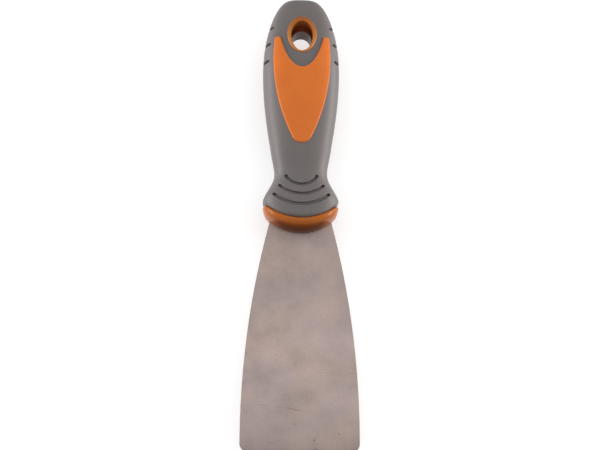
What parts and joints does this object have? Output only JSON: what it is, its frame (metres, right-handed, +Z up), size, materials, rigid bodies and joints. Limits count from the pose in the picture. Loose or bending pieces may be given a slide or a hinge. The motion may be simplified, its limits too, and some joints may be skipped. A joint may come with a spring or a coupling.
{
  "type": "flexible putty knife",
  "caption": "Flexible putty knife: a flared spring-steel blade in a contoured two-colour handle with a soft grip and a hanging hole, for spreading filler and scraping.",
  "frame": {"origin": "on the bench under the middle of the knife's length and width, the knife lying on its back", "axes": "+Y from the working edge to the hanging end, +Z up out of the front face and along the hanging hole, +X across the blade to the right seen from the front"},
  "size_m": [0.0508, 0.202, 0.0246],
  "materials": {
    "blade_steel": "satin spring steel, fine grain along the blade",
    "orange_gloss": "smooth moulded, glossy",
    "orange_pad": "soft-touch, satin",
    "grip_rubber": "soft-touch moulded, satin",
    "core_plastic": "as moulded",
    "rivet_metal": "plain"
  },
  "bodies": {
    "root": {"blade": "blade_steel", "collar": "orange_gloss", "core_front": "core_plastic", "core_back": "core_plastic", "grip": "grip_rubber", "hang_hole_bushing": "orange_gloss", "inlay_front": "orange_pad", "inlay_back": "orange_pad", "rivet_socket_1": "rivet_metal", "rivet_socket_2": "rivet_metal", "rivet_socket_3": "rivet_metal", "rivet_post_1": "rivet_metal", "rivet_post_2": "rivet_metal", "rivet_post_3": "rivet_metal"}
  },
  "joints": []
}
